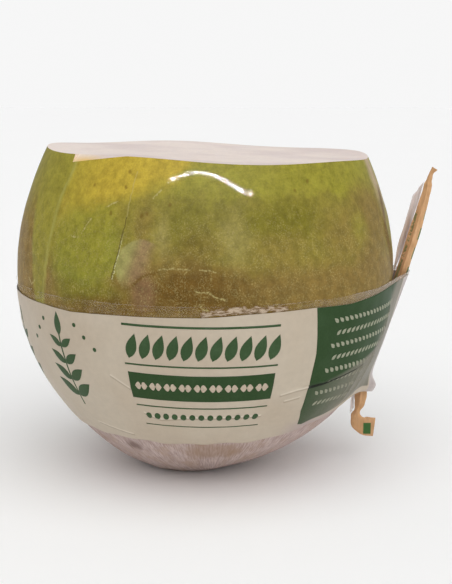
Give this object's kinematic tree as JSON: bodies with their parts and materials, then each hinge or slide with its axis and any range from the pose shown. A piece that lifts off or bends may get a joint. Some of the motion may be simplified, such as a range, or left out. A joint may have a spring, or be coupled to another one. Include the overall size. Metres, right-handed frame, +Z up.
{
  "type": "green coconut",
  "caption": "Green drinking coconut sliced level at the top, with a printed film band round its lower half that holds a sleeved straw against its side.",
  "frame": {"origin": "on the resting plane, inside the flat spot, under the fruit's vertical axis", "axes": "+Z up, +X towards the side that carries the straw, -Y towards the front of the band"},
  "size_m": [0.1618, 0.1462, 0.1249],
  "materials": {
    "husk_skin": "glossy",
    "printed_film": "satin",
    "kraft_paper": "matte",
    "straw_paper": "matte",
    "white_film": "satin"
  },
  "bodies": {
    "root": {"coconut": "husk_skin", "label_band": "printed_film", "straw_sleeve": "kraft_paper", "straw": "straw_paper", "film_strip": "white_film"}
  },
  "joints": []
}
